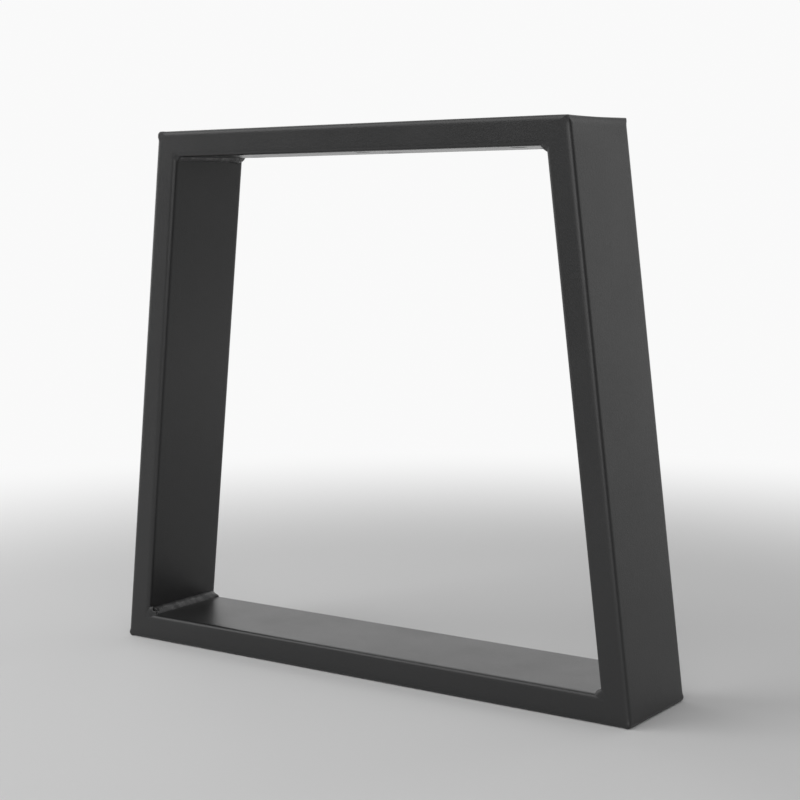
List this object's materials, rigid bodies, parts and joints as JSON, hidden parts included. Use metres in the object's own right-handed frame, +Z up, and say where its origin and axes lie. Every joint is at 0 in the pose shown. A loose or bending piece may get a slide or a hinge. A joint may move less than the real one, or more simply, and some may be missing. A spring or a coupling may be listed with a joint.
{
  "type": "trapezoid table leg",
  "caption": "Open trapezoid frame leg for a low table or bench, mitred from flat steel tube and welded, wider at the floor, with screw holes in its top tube.",
  "frame": {"origin": "middle of the footprint, on the floor", "axes": "+X along the width of the frame, +Y through its depth from front to back, +Z up"},
  "size_m": [0.4492, 0.08, 0.4],
  "materials": {
    "coated_tube": "fine satin-matt powder coat on steel tube",
    "coated_weld": "the same powder coat over a rippled weld bead"
  },
  "bodies": {
    "root": {"top_tube": "coated_tube", "bottom_tube": "coated_tube", "left_upright": "coated_tube", "right_upright": "coated_tube", "weld_top_left": "coated_weld", "weld_top_right": "coated_weld", "weld_bottom_left": "coated_weld", "weld_bottom_right": "coated_weld"}
  },
  "joints": []
}
